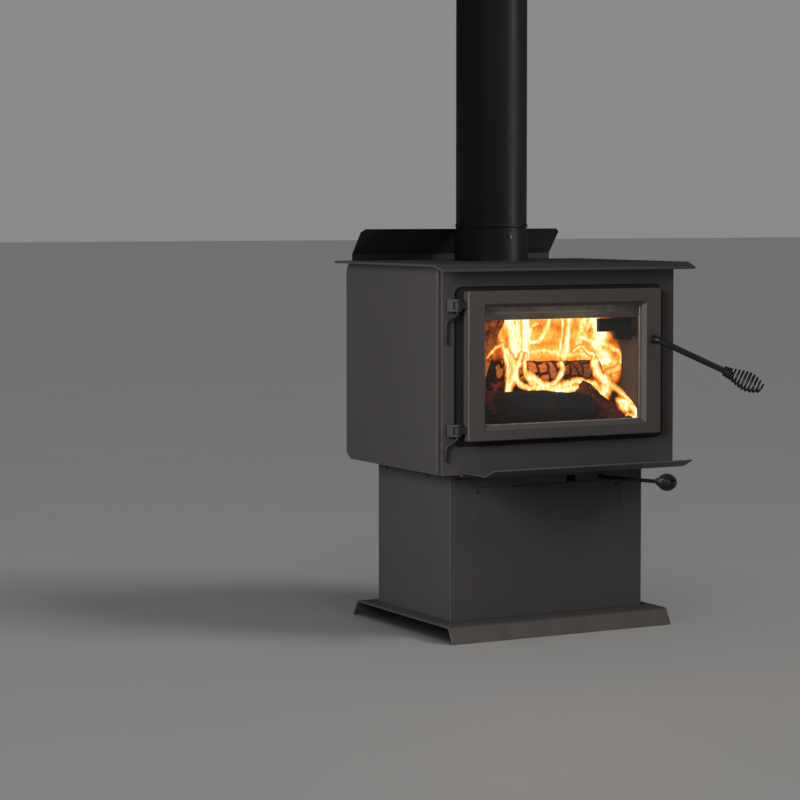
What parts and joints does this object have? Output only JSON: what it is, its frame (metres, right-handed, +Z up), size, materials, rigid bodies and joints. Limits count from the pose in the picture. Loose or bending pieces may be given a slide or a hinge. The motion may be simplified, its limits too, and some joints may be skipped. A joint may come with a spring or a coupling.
{
  "type": "wood burning stove",
  "caption": "Steel wood stove on a pedestal with a glazed side-hinged door, firebrick lining, coil-grip door handle, sliding air control, ash lip, rear heat shield and stovepipe.",
  "frame": {"origin": "on the floor, at the middle of the whole object's box, handles included", "axes": "+X towards the handle side as seen from the front, +Y towards the rear heat shield, +Z up"},
  "size_m": [0.7181, 0.675, 1.3896],
  "materials": {
    "charcoal_paint": "satin charcoal stove paint on sheet steel",
    "door_paint": "satin charcoal stove paint on the door casting",
    "dark_paint": "matte black stove paint",
    "pipe_paint": "satin black stovepipe paint",
    "handle_black": "satin black coating on wire and rod",
    "black_screw": "black oxide screw heads",
    "bare_steel": "bare heat-stained steel",
    "gasket_rope": "grey-black glass-fibre rope",
    "firebrick": "rough buff refractory brick",
    "baffle_board": "pale refractory board",
    "clear_glass": "clear ceramic glass",
    "flame_glow": "glowing flame shapes behind the glass",
    "ember_wood": "charred and glowing logs"
  },
  "bodies": {
    "stove": {"air_inlet_box": "dark_paint", "air_tube_front": "bare_steel", "air_tube_middle": "bare_steel", "air_tube_rear": "bare_steel", "airwash_deflector": "bare_steel", "ash_lip": "charcoal_paint", "baffle_board_left": "baffle_board", "baffle_board_right": "baffle_board", "base_plate": "charcoal_paint", "collar_screw_front": "black_screw", "collar_screw_left": "black_screw", "collar_screw_right": "black_screw", "door_land": "dark_paint", "firebox_shell": "dark_paint", "floor_brick_front_left": "firebrick", "floor_brick_front_right": "firebrick", "floor_brick_rear_left": "firebrick", "floor_brick_rear_right": "firebrick", "flue_collar": "pipe_paint", "flue_pipe": "pipe_paint", "front_plate": "charcoal_paint", "hinge_bracket_lower": "dark_paint", "hinge_bracket_upper": "dark_paint", "hinge_pin_lower": "dark_paint", "hinge_pin_upper": "dark_paint", "latch_keeper": "bare_steel", "panel_screw_left": "black_screw", "panel_screw_right": "black_screw", "pedestal_front_frame": "charcoal_paint", "pedestal_front_panel": "charcoal_paint", "pedestal_shell": "charcoal_paint", "rear_brick_left": "firebrick", "rear_brick_middle": "firebrick", "rear_brick_right": "firebrick", "rear_heat_shield": "charcoal_paint", "rear_panel": "charcoal_paint", "shield_bracket_left": "charcoal_paint", "shield_bracket_right": "charcoal_paint", "side_brick_front_left": "firebrick", "side_brick_front_right": "firebrick", "side_brick_rear_left": "firebrick", "side_brick_rear_right": "firebrick", "side_panel_left": "charcoal_paint", "side_panel_right": "charcoal_paint", "top_plate": "charcoal_paint"},
    "door": {"door_frame": "door_paint", "door_gasket": "gasket_rope", "door_glass": "clear_glass", "glass_gasket": "gasket_rope", "glass_retainer": "bare_steel", "handle_bush": "dark_paint", "hinge_knuckle_lower": "dark_paint", "hinge_knuckle_upper": "dark_paint"},
    "door_handle": {"handle_rod": "handle_black", "handle_coil": "handle_black", "latch_cam": "bare_steel"},
    "air_control": {"air_control_rod": "handle_black", "air_control_coil": "handle_black", "air_damper": "bare_steel", "slot_shutter": "charcoal_paint"}
  },
  "joints": [
    {"name": "door_swing", "type": "hinge", "parent": "stove", "child": "door", "pos_m": [-0.301, -0.1262, 0.561], "axis": [0, 0, -1], "range_deg": [0, 120]},
    {"name": "handle_turn", "type": "hinge", "parent": "door", "child": "door_handle", "pos_m": [0.162, -0.1387, 0.6066], "axis": [0, -1, 0], "range_deg": [0, 75]},
    {"name": "air_slide", "type": "slide", "parent": "stove", "child": "air_control", "axis": [-1, 0, 0], "range_m": [0, 0.076]}
  ]
}
